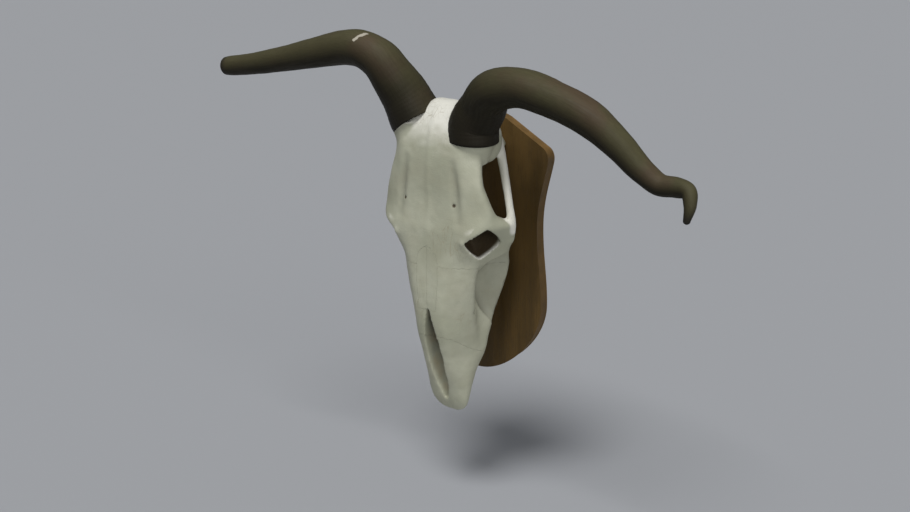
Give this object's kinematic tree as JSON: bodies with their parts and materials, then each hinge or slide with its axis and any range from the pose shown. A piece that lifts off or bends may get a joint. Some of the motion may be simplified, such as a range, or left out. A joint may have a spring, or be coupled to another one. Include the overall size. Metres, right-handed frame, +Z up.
{
  "type": "mounted bull skull",
  "caption": "Horned cattle skull without its lower jaw, fixed face outwards on a shield-shaped wooden wall plaque.",
  "frame": {"origin": "middle of the plaque's flat back, on the wall", "axes": "+Z up the wall, +Y into the wall, the skull faces -Y, +X to the right of someone facing it, which is the animal's left"},
  "size_m": [0.8638, 0.1879, 0.6112],
  "materials": {
    "plaque_wood": "dark oiled hardwood, satin",
    "peg_wood": "plain turned dowel",
    "hanger_steel": "plain zinc-plated steel",
    "bone": "dry weathered bone, matt, greyish ivory",
    "horn": "dark brown horn sheath, satin with dull patches"
  },
  "bodies": {
    "root": {"plaque": "plaque_wood", "plaque_peg": "peg_wood", "hanger_plate": "hanger_steel", "hanger_screw_1": "hanger_steel", "hanger_screw_2": "hanger_steel", "cranium": "bone", "maxilla": "bone", "nasal_left": "bone", "nasal_right": "bone", "premaxilla_left": "bone", "premaxilla_right": "bone", "horn_left": "horn", "horn_right": "horn"}
  },
  "joints": []
}
